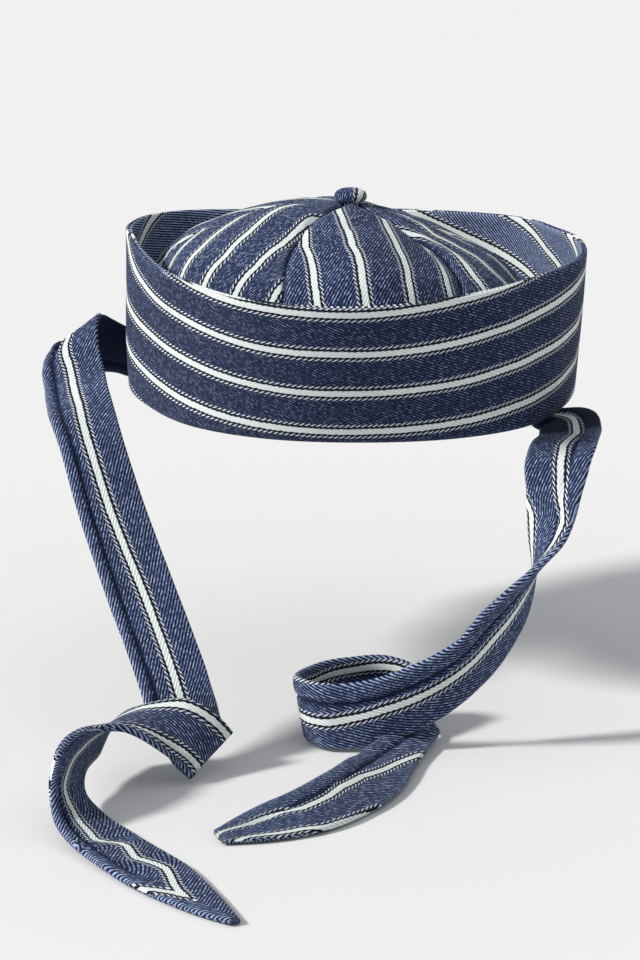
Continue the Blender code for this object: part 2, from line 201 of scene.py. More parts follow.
# Radius and height, up its side from the crown.
BUTTON_ROWS = ((5.4, 0.0), (6.5, 0.8), (6.95, 2.2), (6.4, 3.8), (4.6, 5.0), (2.2, 5.5))

# Ties, in millimetres. Each row has x, y and z of a place on the centre line, the direction from
# the A edge to the B edge there, and the width. Up to the first of TIE_TURNS the width is taken
# along that direction, as the tie turns over, and beyond the second square to the centre line.
TIE_TURNS = (90.0, 110.0)
TIE_LEFT_ROWS = (
    (-80.4, 44.7, -1.9, 0.47, 0.88, 0.0, 28),
    (-99.1, 36.0, 8.2, 0.03, 0.43, -0.90, 27.6),
    (-105.3, 30.0, 12.2, -0.07, 0.31, -0.95, 26.1),
    (-111.5, 24.0, 15.3, -0.22, 0.15, -0.96, 26.3),
    (-117.6, 17.0, 19.7, -0.55, -0.08, -0.83, 23.9),
    (-121.5, 11.0, 23.3, -0.79, -0.32, -0.52, 25.2),
    (-123.2, 7.5, 20.6, -0.81, -0.33, -0.49, 27),
    (-123.7, -1.0, 15.9, -0.85, -0.36, -0.39, 27.9),
    (-121.5, -13.5, 9.7, -0.88, -0.32, -0.35, 27.9),
    (-118.9, -32.0, 5.5, -0.92, -0.17, -0.35, 27.5),
    (-114.7, -54.0, 0.5, -0.985, -0.10, -0.10, 27.5),
    (-110.6, -67.0, -7.0, -0.99, -0.10, -0.07, 26.6),
    (-102.6, -83.0, -28.0, -1.0, -0.09, -0.05, 27.2),
    (-89.2, -109.0, -57.0, -1.0, -0.08, -0.05, 28),
    (-76.0, -134.0, -84.0, -1.0, -0.06, -0.02, 28),
    (-70.2, -144.5, -98.0, -0.85, -0.38, -0.30, 28),
    (-63.3, -152.5, -109.5, -0.594, -0.664, -0.455, 28),
    (-59.5, -156.9, -111.2, -0.594, -0.664, -0.455, 28),
    (-62.2, -158.5, -107.0, -0.594, -0.664, -0.455, 28),
    (-70.0, -159.0, -100.7, -0.30, -0.72, -0.61, 28),
    (-82.0, -160.0, -96.6, -0.15, -0.95, -0.25, 28),
    (-94.0, -162.0, -95.5, -0.10, -0.98, 0.12, 28),
    (-101.3, -167.5, -97.3, -0.08, -0.93, 0.33, 28),
    (-107.6, -180.0, -99.3, -0.16, -0.86, 0.46, 28),
    (-111.8, -193.0, -102.0, -0.22, -0.88, 0.42, 28),
    (-112.6, -206.0, -108.0, -0.32, -0.85, 0.41, 28),
    (-107.0, -219.0, -115.0, -0.62, -0.72, 0.25, 28),
    (-99.0, -233.0, -117.3, -0.80, -0.58, 0.10, 28),
    (-88.0, -250.0, -118.2, -0.84, -0.54, 0.03, 28),
    (-76.0, -268.0, -118.4, -0.84, -0.54, 0.0, 27),
    (-64.0, -287.0, -118.4, -0.84, -0.54, 0.0, 21),
    (-54.0, -302.0, -118.4, -0.83, -0.56, 0.0, 13),
    (-46.0, -313.0, -118.4, -0.80, -0.60, 0.0, 5),
)
TIE_RIGHT_ROWS = (
    (78.9, -42.1, -1.9, -0.49, -0.87, 0.0, 27),
    (84.6, -44.3, -2.1, -0.70, -0.69, -0.15, 26),
    (87.5, -53.5, -1.4, -0.88, -0.44, -0.16, 28),
    (87.6, -65.5, -2.0, -0.97, -0.22, -0.08, 27),
    (82.4, -95.0, -1.9, -1.0, -0.05, 0.0, 27.5),
    (79.6, -106.0, -6.0, -1.0, 0.15, 0.0, 26.4),
    (78.0, -111.0, -15.4, -0.84, 0.54, 0.0, 25.6),
    (76.7, -116.0, -23.3, -0.66, 0.75, 0.0, 26.4),
    (74.6, -121.0, -33.3, -0.42, 0.89, -0.12, 28),
    (69.8, -125.0, -45.8, 0.06, 0.92, -0.33, 28),
    (62.4, -127.0, -58.7, 0.34, 0.75, -0.57, 28),
    (55.0, -128.0, -68.7, 0.40, 0.55, -0.73, 28),
    (43.8, -129.0, -82.3, 0.30, 0.46, -0.83, 28),
    (23.7, -130.0, -96.0, 0.29, 0.18, -0.94, 28),
    (-3.0, -129.0, -104.8, 0.10, 0.0, -1.0, 28),
    (-16.0, -127.0, -105.2, 0.12, 0.0, -1.0, 28),
    (-23.5, -117.0, -105.0, 0.17, 0.05, -0.98, 28),
    (-16.5, -101.0, -105.0, 0.06, 0.05, -1.0, 28),
    (-4.0, -92.5, -105.0, 0.0, 0.05, -1.0, 28),
    (11.0, -90.5, -105.0, 0.0, 0.05, -1.0, 28),
    (22.0, -95.0, -106.0, 0.10, 0.10, -0.98, 26),
    (26.0, -107.0, -109.5, 0.55, 0.0, -0.83, 22),
    (22.0, -122.0, -114.0, 0.85, -0.30, -0.43, 18),
    (11.3, -147.0, -117.0, 0.90, -0.40, -0.10, 24),
    (4.0, -171.0, -115.5, 0.80, -0.56, -0.20, 28),
    (-6.5, -193.0, -114.8, 0.78, -0.58, -0.26, 28),
    (-23.0, -213.0, -115.5, 0.66, -0.71, -0.25, 26),
    (-42.0, -224.5, -117.0, 0.50, -0.84, -0.20, 19),
    (-54.0, -231.0, -118.0, 0.45, -0.88, -0.12, 9),
)

# Stripes on each face of a tie, their place taken from the centre line towards the B edge.
TIE_LEFT_UPPER = (
    (0, 0.0, WIDE), (61, 3.2, WIDE), (66, 2.9, WIDE), (74, 2.0, WIDE), (81, 0.9, WIDE),
    (95, 0.5, WIDE), (120, 0.1, WIDE), (137, 1.0, REPEAT), (146, 1.3, REPEAT), (179, 0.8, REPEAT),
    (220, -0.8, REPEAT), (261, -0.6, REPEAT), (290, 0.0, REPEAT), (340, 1.6, WIDE),
    (363, 1.6, WIDE), (376, 3.4, WIDE), (388, 5.3, WIDE), (400, 3.2, WIDE), (415, 3.0, WIDE),
    (424, 4.0, WIDE), (427, 1.8, WIDE), (430, -3.0, WIDE), (434, -4.0, WIDE), (440, -2.3, WIDE),
    (446, -0.7, WIDE), (451, -2.8, WIDE), (456, -4.0, WIDE), (461, -4.5, WIDE), (468, -2.4, WIDE),
    (476, 0.6, WIDE), (483, 2.5, WIDE), (489, 3.4, WIDE), (500, 7.0, WIDE), (521, 12.0, WIDE),
)
TIE_LEFT_UNDER = (
    (0, 18.0, WIDEST), (56, 18.0, WIDEST), (64, 8.7, WIDER), (90, 8.7, REPEAT),
    (300, 8.5, REPEAT), (316, 9.0, REPEAT), (330, 9.3, REPEAT), (340, 13.0, REPEAT),
    (348, 17.0, WIDEST), (360, 18.0, WIDEST), (521, 18.0, WIDEST),
)
TIE_RIGHT_UPPER = (
    (0, -2.0, REPEAT), (40, -2.9, REPEAT), (48, -1.7, REPEAT), (58, -0.2, REPEAT),
    (70, -1.3, REPEAT), (81, -3.4, REPEAT), (86, -4.8, REPEAT), (93, -8.9, REPEAT),
    (200, -8.5, REPEAT), (255, -7.0, REPEAT), (272, -8.5, REPEAT), (290, -9.5, REPEAT),
    (312, -9.0, WIDER), (398, -6.5, WIDER), (408, -6.5, REPEAT), (469, -2.0, REPEAT),
)
TIE_RIGHT_UNDER = (
    (0, 4.0, REPEAT), (40, 4.0, REPEAT), (70, 0.0, REPEAT), (140, 1.1, REPEAT),
    (152, 0.3, REPEAT), (183, 0.1, REPEAT), (201, -0.5, REPEAT), (214, 0.5, REPEAT),
    (223, 2.1, REPEAT), (236, 2.6, REPEAT), (290, 5.0, REPEAT), (315, 18.0, WIDEST),
    (336, 18.0, WIDEST), (347, 10.0, WIDER), (364, 4.6, WIDE), (389, -2.0, WIDE),
    (405, -3.0, 19.0), (416, -1.8, 16.0), (432, -1.6, 14.2), (440, -3.4, 13.0), (449, -3.0, 12.0),
    (459, -1.3, 8.0), (469, 0.0, 6.0),
)
# The left tie's tip is mitred: a place on the mitre's line, and how far the line comes in per
# millimetre. The crease along its sewn edge dies out before that, between the lengths CREASE_END.
MITRE = (488.0, 3.0, 0.146)
CREASE_END = (456.0, 470.0)
# Both ties: rows, stripes on the upper and under faces, the sewn edge (1 for B, -1 for A), how far
# from it the crease lies, up to what length painted shade darkens its root, whether it is mitred,
# and a seed.
TIES = {
    "left_tie": (TIE_LEFT_ROWS, TIE_LEFT_UPPER, TIE_LEFT_UNDER, 1, 5.5, 60, True, 21),
    "right_tie": (TIE_RIGHT_ROWS, TIE_RIGHT_UPPER, TIE_RIGHT_UNDER, -1, 8.5, 38, False, 31),
}
TIE_STEP = 1.6  # from one row of a tie's mesh to the next
TIE_COLUMNS = 34  # columns of the mesh across a face, some drawn towards its edges
TIE_CROWDING = 0.4
TIE_WIDENING = 1.6  # the most that the width grows where the direction lies askew
TIE_HALF_THICKNESS = 1.2
TIE_EDGE_ROUND = 1.4  # the edges round off over this
# The sewn edge is plumper: by how much, then where and how wide, as shares of the crease's place.
SEWN_PLUMP = (0.6, 0.5, 0.35)
CREASE = (0.95, 0.8)  # its depth and half width
CREASE_FROM = (4.0, 12.0)  # it sets in as the tie's half width grows over these
# A tie's soft waves: height and distance apart.
TIE_SWELL = (0.25, 18)
TIE_CUP = (0.5, 40)
TIE_RIPPLE = (0.3, 11)
# A tie's wear, more at its edges over a width, with painted shade in the crease and at the root, up
# to a given length.
TIE_WEAR = 0.1
TIE_EDGE_WEAR = (0.5, 1.5)
# Painted shade in the crease on the sewn side.
CREASE_PAINTED_SHADE = 1.4
# Painted shade at the tie's root, where it leaves the cuff and lies in its shadow.
ROOT_PAINTED_SHADE = (1.3, 8.0)  # how much, and over what length it sets in

# Weave, in millimetres unless said. A line or a cord is placed from the bold stripe's middle.
STRIPE_STRAY = 0.45  # from side to side, as the cloth pulls
STRIPE_EDGE = (-0.1, 0.15)  # a bold stripe ends between these distances from its nominal edge
DARK_LINE_END = (2.15, 2.45)
CORD_START = (2.2, 2.5)
CORD_END = (3.25, 3.55)
CORD_LEAN = 0.58  # across, for each millimetre along: plies 30 degrees off the warp
CORD_TURN = 1.45  # from ply to ply across, which is 2.5 along the warp
CORD_PUSH = 0.13  # the plies push the stripe's edge in and out by this
TWILL_ANGLE = 27.0  # degrees that the ridges lie off the warp
FLOATS = (1.5, 0.5, 0.0)  # warp floats per millimetre, across the ridges and along them
FLOAT_JITTER = 0.35  # how far the floats break up the ridges
WEAVE_RELIEF = 0.0002  # metres
# The other yarns' colours, and the white yarn in painted shade.
BARE_WEFT = "#b9c3da"
RUBBED_AND_LIT_WARP = "#a2b3d6"
DARK_LINE = "#090b18"
CORD_GROUND = "#0e1226"
CORD_PLY = "#cbd2de"
WHITE_PAINTED_SHADE = "#b8c3c5"
NAP = "#c9cfe6"

# Stage: in metres and degrees. The camera looks down by CAMERA_DIP.
FLOOR_DROP = 0.0002
FLOOR_CORNERS = ((-12, -8), (12, -8), (12, 16), (-12, 16))
FLOOR_ROUGHNESS = 0.75
KEY_DIRECTION = (1.2, 0.38, -0.9)
KEY_SPREAD = 9
KEY_COLOUR = "#fffcf7"
SKY_COLOUR = "#f1f3f6"
CAMERA_PLACE = (-0.016, -1.432, 0.336)
CAMERA_DIP = 14.716
FILM_HEIGHT = 36.0  # millimetres, as the focal length
FOCAL_LENGTH = 127.5


def linear(text):
    """An sRGB hex colour as linear RGBA."""
    parts = [int(text[i:i + 2], 16) / 255 for i in (1, 3, 5)]
    return [c / 12.92 if c <= 0.04045 else ((c + 0.055) / 1.055) ** 2.4 for c in parts] + [1.0]


class CapClothSettings(bpy.types.PropertyGroup):
    """The striped denim."""

    repeat: bpy.props.FloatProperty(
        name="Stripe repeat", description="From one bold stripe to the next",
        default=0.01905, min=0.005, subtype="DISTANCE", unit="LENGTH")
    bold: bpy.props.FloatProperty(
        name="Bold stripe", description="Width of the bold white stripe",
        default=0.00265, min=0.0005, subtype="DISTANCE", unit="LENGTH")
    twill_pitch: bpy.props.FloatProperty(
        name="Twill pitch", description="Distance between two twill lines",
        default=0.00115, min=0.0003, subtype="DISTANCE", unit="LENGTH")
    ground: bpy.props.FloatVectorProperty(
        name="Indigo", description="Colour of the dyed warp", size=4, subtype="COLOR",
        default=linear("#0c1630"), min=0.0, max=1.0)
    worn: bpy.props.FloatVectorProperty(
        name="Worn indigo", description="Colour of the warp where it stands highest", size=4,
        subtype="COLOR", default=linear("#5b71a6"), min=0.0, max=1.0)
    white: bpy.props.FloatVectorProperty(
        name="White yarn", description="Colour of the undyed yarn", size=4, subtype="COLOR",
        default=linear("#e0e7e5"), min=0.0, max=1.0)


class CapStageSettings(bpy.types.PropertyGroup):
    """The floor and the lights."""

    floor_colour: bpy.props.FloatVectorProperty(
        name="Floor", description="Colour of the floor", size=4, subtype="COLOR",
        default=linear("#dcdcdd"), min=0.0, max=1.0)
    key_power: bpy.props.FloatProperty(
        name="Key light", description="Strength of the key light", default=3.85, min=0.0)
    sky_power: bpy.props.FloatProperty(
        name="Sky light", description="Strength of the light from all round", default=0.62, min=0.0)


def node(tree, kind, inputs=None, output=0, **settings):
    """Adds a shader node with its settings, values and links, and returns one of its outputs."""
    made = tree.nodes.new("ShaderNode" + kind)
    for name, value in settings.items():
        setattr(made, name, value)
    for key, value in (inputs or {}).items():
        if isinstance(value, bpy.types.NodeSocket):
            tree.links.new(value, made.inputs[key])
        else:
            made.inputs[key].default_value = value
    return made.outputs[output] if made.outputs else None


def striped_denim(context):
    """Indigo twill denim with woven white stripes, made once and shared by every piece.

    Dyed warp floats over undyed weft in steep diagonal ridges that catch the light, broken by pale
    flecks where the weft shows. It is matt, and its nap gives it a slight sheen.
    """
    name = "indigo twill denim, woven stripe"
    if name in bpy.data.materials:
        return bpy.data.materials[name]
    cloth = context.scene.cap_cloth
    repeat = cloth.repeat / MM
    half_bold = cloth.bold / MM / 2
    pitch = cloth.twill_pitch / MM
    material = bpy.data.materials.new(name)
    material.use_nodes = True
    tree = material.node_tree
    tree.nodes.clear()
    weave = node(tree, "UVMap", uv_map="weave")
    slub = node(tree, "TexNoise", {"Vector": weave, "Scale": 0.3, "Detail": 1.0},
                noise_dimensions="2D")
    drift = node(tree, "Math", {0: slub, 1: 0.5}, operation="SUBTRACT")
    shift = node(tree, "Math", {0: drift, 1: STRIPE_STRAY}, operation="MULTIPLY")
    across = node(tree, "SeparateXYZ", {0: weave})
    moved = node(tree, "Math", {0: across, 1: shift}, operation="ADD")
    # The corded yarns' plies, and the distance to the nearest bold stripe's middle.
    cord = node(tree, "VectorMath", {0: weave, 1: (1.0, CORD_LEAN, 0.0)}, 1,
                operation="DOT_PRODUCT")
    cord_turn = node(tree, "Math", {0: cord, 1: tau / CORD_TURN}, operation="MULTIPLY")
    ply = node(tree, "Math", {0: cord_turn}, operation="SINE")
    ragged = node(tree, "Math", {0: ply, 1: CORD_PUSH, 2: moved}, operation="MULTIPLY_ADD")
    off = node(tree, "Math", {0: ragged, 1: repeat / 2}, operation="PINGPONG")
    # The twill's ridges, broken up by the warp floats that lie along them.
    twill = node(tree, "Mapping", {"Vector": weave, "Rotation": (0, 0, radians(TWILL_ANGLE))})
    twill_x = node(tree, "SeparateXYZ", {0: twill})
    stretched = node(tree, "VectorMath", {0: twill, 1: FLOATS}, operation="MULTIPLY")
    floats = node(tree, "TexNoise",
                  {"Vector": stretched, "Scale": 1.0, "Detail": 2.0, "Roughness": 0.65},
                  noise_dimensions="2D")
    jitter = node(tree, "Math", {0: floats, 1: FLOAT_JITTER, 2: twill_x}, operation="MULTIPLY_ADD")
    twill_turn = node(tree, "Math", {0: jitter, 1: tau / pitch}, operation="MULTIPLY")
    twill_wave = node(tree, "Math", {0: twill_turn}, operation="SINE")
    ridge = node(tree, "MapRange", {0: twill_wave, 1: -0.35, 2: 1.0},
                 interpolation_type="SMOOTHSTEP")
    fleck = node(tree, "MapRange", {0: floats, 1: 0.36, 2: 0.66, 3: 0.15, 4: 1.0})
    # Washing left wide, faint patches.
    wash_noise = node(tree, "TexNoise", {"Vector": weave, "Scale": 0.04, "Detail": 3.0},
                      noise_dimensions="2D")
    wash = node(tree, "MapRange", {0: wash_noise, 1: 0.3, 2: 0.7, 3: 0.8, 4: 1.15})
    # Below zero, painted shade: the ridges show less of their worn colour.
    wear_and_painted_light = node(tree, "Attribute", {}, 2, attribute_name="wear_and_painted_light")
    ridges_unshaded = node(tree, "MapRange", {0: wear_and_painted_light, 1: -1.0, 2: 0.0})
    bared = node(tree, "Math", {0: ridge, 1: ridges_unshaded}, operation="MULTIPLY")
    raised = node(tree, "Math", {0: bared, 1: fleck}, operation="MULTIPLY")
    shown = node(tree, "Math", {0: raised, 1: wash}, operation="MULTIPLY", use_clamp=True)
    base = node(tree, "Mix", {0: shown, 6: cloth.ground, 7: cloth.worn}, 2, data_type="RGBA")
    # The palest flecks are bare weft.
    pip_noise = node(tree, "MapRange", {0: floats, 1: 0.53, 2: 0.66})
    pip = node(tree, "Math", {0: pip_noise, 1: bared}, operation="MULTIPLY")
    pips = node(tree, "Math", {0: pip, 1: 0.75}, operation="MULTIPLY")
    flecked = node(tree, "Mix", {0: pips, 6: base, 7: linear(BARE_WEFT)}, 2, data_type="RGBA")
    # Above zero, the ridges are rubbed pale by wear, and on the facing partly lit as painted light.
    rubbed_and_lit = node(tree, "Math", {0: wear_and_painted_light, 1: ridge}, operation="MULTIPLY", use_clamp=True)
    faded_and_lit = node(tree, "Mix", {0: rubbed_and_lit, 6: flecked, 7: linear(RUBBED_AND_LIT_WARP)}, 2, data_type="RGBA")
    # The dark lines each side of the bold stripe, then the corded pin stripes outside them.
    line = node(tree, "MapRange",
                {0: off, 1: DARK_LINE_END[0], 2: DARK_LINE_END[1], 3: 1.0, 4: 0.0})
    lined = node(tree, "Mix", {0: line, 6: faded_and_lit, 7: linear(DARK_LINE)}, 2, data_type="RGBA")
    cord_ply = node(tree, "MapRange", {0: ply, 1: -0.15, 2: 0.5}, interpolation_type="SMOOTHSTEP")
    cord_in = node(tree, "MapRange", {0: off, 1: CORD_START[0], 2: CORD_START[1]},
                   interpolation_type="SMOOTHSTEP")
    cord_out = node(tree, "MapRange", {0: off, 1: CORD_END[0], 2: CORD_END[1], 3: 1.0, 4: 0.0},
                    interpolation_type="SMOOTHSTEP")
    cord_band = node(tree, "Math", {0: cord_in, 1: cord_out}, operation="MULTIPLY")
    cord_dark = node(tree, "Mix", {0: cord_band, 6: lined, 7: linear(CORD_GROUND)}, 2,
                     data_type="RGBA")
    cord_white = node(tree, "Math", {0: cord_band, 1: cord_ply}, operation="MULTIPLY")
    corded = node(tree, "Mix", {0: cord_white, 6: cord_dark, 7: linear(CORD_PLY)}, 2,
                  data_type="RGBA")
    # The bold stripe is white yarn, with painted shade in the twill's hollows across it.
    stripe = node(tree, "MapRange",
                  {0: off, 1: half_bold + STRIPE_EDGE[0], 2: half_bold + STRIPE_EDGE[1],
                   3: 1.0, 4: 0.0})
    hollow_shade = node(tree, "MapRange", {0: twill_wave, 1: -1.0, 2: 0.3, 3: 1.0, 4: 0.0})
    white = node(tree, "Mix", {0: hollow_shade, 6: cloth.white, 7: linear(WHITE_PAINTED_SHADE)}, 2,
                 data_type="RGBA")
    striped = node(tree, "Mix", {0: stripe, 6: corded, 7: white}, 2, data_type="RGBA")
    cord_rise = node(tree, "Math", {0: cord_white, 1: 0.8, 2: ridge}, operation="MULTIPLY_ADD")
    height = node(tree, "Math", {0: stripe, 1: 0.5, 2: cord_rise}, operation="MULTIPLY_ADD")
    bump = node(tree, "Bump", {"Height": height, "Strength": 0.7, "Distance": WEAVE_RELIEF})
    surface = node(tree, "BsdfPrincipled", {
        "Base Color": striped, "Normal": bump, "Roughness": 0.9, "IOR": 1.45,
        "Specular IOR Level": 0.2, "Sheen Weight": 0.05, "Sheen Roughness": 0.5,
        "Sheen Tint": linear(NAP)})
    node(tree, "OutputMaterial", {"Surface": surface})
    return material


def make_piece(context, name, points, left, right, wear_and_painted_light, closed_rows, caps, replaces):
    """A closed skin over a grid of points whose columns run round, as a finished piece.

    points is (rows, columns, 3) in millimetres. left and right give the weave coordinates at both
    sides of each column of faces, with one more row than points where the rows are closed too.
    """
    rows, columns = points.shape[:2]
    spans = rows if closed_rows else rows - 1
    row, column = np.meshgrid(np.arange(spans), np.arange(columns), indexing="ij")
    above = (row + 1) % rows
    beside = (column + 1) % columns
    quads = np.stack([row * columns + column, row * columns + beside,
                      above * columns + beside, above * columns + column], axis=-1)
    weave = np.stack([left[row, column], right[row, column],
                      right[row + 1, column], left[row + 1, column]], axis=2)
    faces = [tuple(quad) for quad in quads.reshape(-1, 4).tolist()]
    coordinates = [tuple(pair) for pair in weave.reshape(-1, 2).tolist()]
    if caps:
        last = (rows - 1) * columns
        faces.append(tuple(reversed(range(columns))))
        coordinates += [tuple(left[0, index]) for index in reversed(range(columns))]
        faces.append(tuple(range(last, last + columns)))
        coordinates += [tuple(left[rows - 1, index]) for index in range(columns)]
    return finish_piece(context, name, points.reshape(-1, 3), faces, coordinates,
                        wear_and_painted_light.reshape(-1), replaces)


def finish_piece(context, name, vertices, faces, coordinates, wear_and_painted_light, replaces):
    """Makes the mesh with its weave coordinates, its wear and painted light, and its cloth, and
    ties it to the frame.
    """
    mesh = bpy.data.meshes.new(name)
    mesh.from_pydata((np.asarray(vertices) * MM).tolist(), [], faces)
    layer = mesh.uv_layers.new(name="weave")
    layer.data.foreach_set("uv", np.asarray(coordinates, np.float32).reshape(-1))
    wear_and_shading = mesh.attributes.new("wear_and_painted_light", "FLOAT", "POINT")
    wear_and_shading.data.foreach_set("value", np.asarray(wear_and_painted_light, np.float32))
    mesh.materials.append(striped_denim(context))
    mesh.shade_smooth()
    piece = bpy.data.objects.new(name, mesh)
    context.scene.collection.objects.link(piece)
    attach(piece, "root")
    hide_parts(*replaces)
    return piece


def hump(distance, width):
    """A smooth hump: 1 in its middle, and about a third of that one width away."""
    return np.exp(-(distance / width) ** 2)


def walked(points):
    """How far along a line of points each of them lies."""
    return np.concatenate([[0], np.cumsum(np.linalg.norm(np.diff(points, axis=0), axis=1))])


def hermite(p0, p1, m0, m1, t):
    """Cubic curve from p0 to p1 with end slopes m0 and m1, at t from 0 to 1."""
    t2 = t * t
    t3 = t2 * t
    return ((2 * t3 - 3 * t2 + 1) * p0 + (t3 - 2 * t2 + t) * m0
            + (3 * t2 - 2 * t3) * p1 + (t3 - t2) * m1)


def round_value(rows, column, first, azimuth):
    """A table's column at azimuths, its evenly spaced rows joined smoothly into a ring."""
    values = np.array([row[column] for row in rows])
    place = (np.asarray(azimuth) - first) / (360.0 / len(rows))
    index = np.floor(place).astype(int)
    a, b, c, d = (values[(index + k) % len(rows)] for k in (-1, 0, 1, 2))
    return hermite(b, c, (c - a) / 2, (d - b) / 2, place - index)


def slopes(knots, values):
    """Slope at each knot of an open table, from the knots on both sides; values are knots first."""
    spans = np.diff(knots, axis=0)
    steps = np.diff(values, axis=0) / spans
    inner = (steps[:-1] * spans[1:] + steps[1:] * spans[:-1]) / (spans[:-1] + spans[1:])
    return np.concatenate([steps[:1], inner, steps[-1:]])


def open_table(knots, table, places):
    """An open table's rows at places between its knots, joined smoothly."""
    tangents = slopes(knots[:, None], table)
    index = np.clip(np.searchsorted(knots, places, side="right") - 1, 0, len(knots) - 2)
    span = (knots[index + 1] - knots[index])[:, None]
    t = ((places - knots[index]) / span[:, 0])[:, None]
    return hermite(table[index], table[index + 1],
                   tangents[index] * span, tangents[index + 1] * span, t)


def wave(seed, length, places):
    """A smooth random line from -1 to 1, whose bumps are about the given length apart."""
    random = np.random.RandomState(seed)
    low = np.min(places) - 2 * length
    knots = np.arange(low, np.max(places) + 3 * length, length)
    values = random.uniform(-1, 1, len(knots))
    index = np.clip(((places - low) / length).astype(int), 1, len(knots) - 3)
    t = (places - low) / length - index
    a, b, c, d = (values[index + k] for k in (-1, 0, 1, 2))
    return hermite(b, c, (c - a) / 2, (d - b) / 2, t)


def striped_weave(along, side, stripes, direction):
    """Weave coordinates of a face, from its table of stripes.

    A stripe keeps its own width, and the plain cloth between two is drawn together or apart.
    """
    table = np.array(stripes, float)
    place = np.interp(along, table[:, 0], table[:, 1])
    spacing = np.interp(along, table[:, 0], table[:, 2])
    count = np.round((side - place) / spacing)
    off = side - place - count * spacing
    core = np.minimum(STRIPE_HALF, STRIPE_HALF * spacing / REPEAT)
    beyond = (np.abs(off) - core) * (REPEAT / 2 - STRIPE_HALF) / (spacing / 2 - core)
    drawn = np.where(np.abs(off) < core, np.abs(off) * STRIPE_HALF / core, STRIPE_HALF + beyond)
    return np.stack([count * REPEAT + np.sign(off) * drawn, along * direction], axis=-1)


# Cuff

def cuff_value(name, azimuth):
    """One of the cuff's measures at an azimuth."""
    return round_value(CUFF_ROWS, CUFF_COLUMNS.index(name), 0.0, azimuth)


def cuff_points(azimuth, along, out):
    """Points of the cuff, along its slant from the base edge and out from its outer face."""
    base = cuff_value("base_radius", azimuth)
    flare = cuff_value("rim_radius", azimuth) - base
    rise = cuff_value("rim_height", azimuth)
    slant = np.hypot(flare, rise)
    share = along / CUFF_SLANT
    offset = out + cuff_value("belly", azimuth) * np.sin(pi * np.clip(share, 0, 1))
    radius = base + share * flare + offset * rise / slant
    height = share * rise - offset * flare / slant
    angle = np.radians(azimuth)
    return np.stack([radius * np.sin(angle), -radius * np.cos(angle), height], axis=-1)


def cuff_weave(azimuth, below):
    """Weave coordinates of the cuff's cut, an arc: across the stripes and along them."""
    half_degrees = np.linspace(CUFF_FRONT - 180, CUFF_FRONT + 180, 2 * 360 + 1)
    length = walked(cuff_points(half_degrees, CUFF_SLANT, -CLOTH))
    middle = np.interp(CUFF_FRONT, half_degrees, length)
    bend = (np.interp(azimuth, half_degrees, length) - middle) / CUFF_PATTERN_RADIUS
    reach = CUFF_PATTERN_RADIUS - below
    sag, centre, spread = CUFF_EASE
    ease = sag * hump(azimuth - centre, spread) * np.sin(pi * np.clip(below / CUFF_SLANT, 0, 1))
    across = CUFF_PATTERN_RADIUS - reach * np.cos(bend) - CUFF_FIRST_STRIPE + ease
    return np.stack([across, reach * np.sin(bend)], axis=-1)


def arc(centre, radius, start, end, steps):
    """Points of an arc in a cuff section, its angles in degrees from up the slant."""
    angles = np.radians(np.linspace(start, end, steps + 1))
    return [(centre[0] + radius * cos(a), centre[1] + radius * sin(a)) for a in angles]


def cuff_ripple(azimuth, along):
    """The cloth's small waves, none at the base and the rim."""
    share = np.clip(along / CUFF_SLANT, 0, 1)
    return np.sin(pi * share) * sum(height * wave(seed, spacing, azimuth + lean * along)
                                    for seed, height, spacing, lean in CUFF_RIPPLES)


def cuff_layer(context, name, section, below, sign, shift, wear_and_shading, node_name):
    """A layer of the cuff: its section carried round the cap."""
    azimuth = CUFF_FRONT - 180 + np.arange(CUFF_STEPS + 1) * 360.0 / CUFF_STEPS
    along = np.array([point[0] for point in section])
    out = np.array([point[1] for point in section])
    turn, level = np.meshgrid(azimuth[:-1], along, indexing="ij")
    step = np.arange(CUFF_STEPS)
    from_seam = np.minimum(step, CUFF_STEPS - step) * 360.0 / CUFF_STEPS
    seam = CUFF_SEAM[0] * hump(from_seam, CUFF_SEAM[1])
    points = cuff_points(turn, level, out + cuff_ripple(turn, level) - seam[:, None])
    closed = np.append(np.arange(len(section)), 0)
    grid, depth = np.meshgrid(azimuth, np.array(below)[closed], indexing="ij")
    weave = cuff_weave(grid, depth)
    weave[..., 1] *= sign
    weave[..., 0] -= shift * grid / FACING_SHIFT_ANGLE
    # The layer's tone, partly wear and partly painted light and shade, with wear added at the rim
    # and the base.
    wear_and_painted_light = wear_and_shading + RIM_WEAR[0] * hump(CUFF_SLANT - along, RIM_WEAR[1])
    wear_and_painted_light = wear_and_painted_light + BASE_WEAR[0] * hump(along, BASE_WEAR[1])
    wear_and_painted_light = np.repeat(wear_and_painted_light[None], CUFF_STEPS, axis=0)
    return make_piece(context, name, points, weave[:, :-1], weave[:, 1:], wear_and_painted_light, True, False,
                      [node_name])


def outer_section():
    """Round the outer layer: under the base, up the face, over at the rim and down behind."""
    turn = CLOTH / 2
    over_steps = 10
    under = arc((STACK, -STACK), STACK, 180, 90, 7)
    over = arc((CUFF_SLANT - turn, -turn), turn, 90, -90, over_steps)
    face = [(place, 0.0) for place in np.linspace(STACK, CUFF_SLANT - turn, 33)[1:-1]]
    back = [(place, -CLOTH) for place in np.linspace(CUFF_SLANT - 5, STACK + 4, 10)]
    inner = arc((STACK, -STACK), STACK - CLOTH, 90, 180, 3)
    section = under + face + over + back + inner
    length = walked(np.array(section))
    rim = length[len(under) + len(face) + over_steps // 2]
    return section, [rim - place for place in length]


